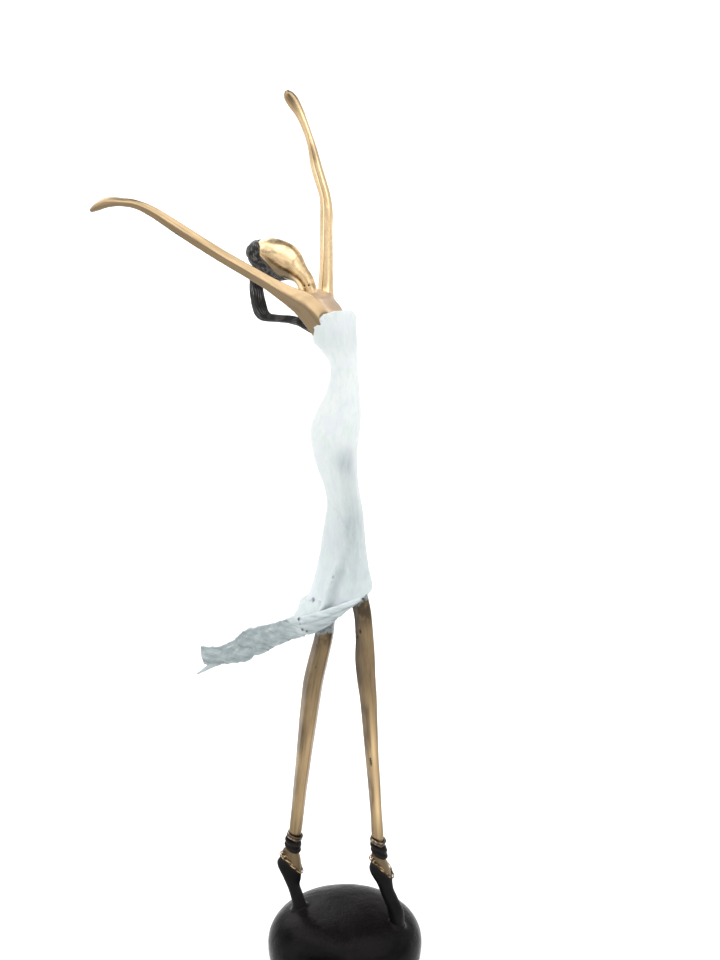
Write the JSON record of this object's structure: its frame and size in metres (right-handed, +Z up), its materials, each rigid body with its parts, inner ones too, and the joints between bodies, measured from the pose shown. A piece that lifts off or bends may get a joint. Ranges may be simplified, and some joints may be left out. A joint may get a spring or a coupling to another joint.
{
  "type": "bronze dancer statuette",
  "caption": "Slender standing dancer in cast metal with raised arms and a wind-blown painted dress, on a dark pebble-shaped base.",
  "frame": {"origin": "centre of the felt pad's underside, on the surface that the statuette stands on", "axes": "+Z up; +X the way the figure faces; +Y the figure's left-hand side"},
  "size_m": [0.1772, 0.1073, 0.5377],
  "materials": {
    "polished_bronze": "hand-polished golden bronze with file marks",
    "brushed_bronze": "brushed bronze with lengthwise file marks and dull patches",
    "gold_wire": "bright wire, darkened in the hollows",
    "black_patina": "satin black patina on cast bronze",
    "hair_patina": "black patina over carved strands",
    "dress_paint": "matt pale blue and white paint, dry-brushed over rough casting",
    "steel": "plain bright steel",
    "felt": "dark green felt"
  },
  "bodies": {
    "root": {"base": "black_patina", "felt_pad": "felt", "foot_studs": "steel", "stud_washers": "steel", "stud_nuts": "steel", "left_shoe": "black_patina", "right_shoe": "black_patina", "left_shoe_edge": "gold_wire", "right_shoe_edge": "gold_wire", "left_ankle_cuff": "black_patina", "right_ankle_cuff": "black_patina", "left_ankle_ring": "gold_wire", "right_ankle_ring": "gold_wire", "left_leg": "brushed_bronze", "right_leg": "brushed_bronze", "dress_body": "dress_paint", "dress_train": "dress_paint", "torso": "polished_bronze", "right_arm": "polished_bronze", "left_arm": "polished_bronze", "head": "polished_bronze", "hair_cap": "hair_patina", "ponytail": "hair_patina", "shoulder_pegs": "steel", "neck_peg": "steel", "waist_peg": "steel", "hip_pegs": "steel", "ankle_pegs": "steel"}
  },
  "joints": []
}
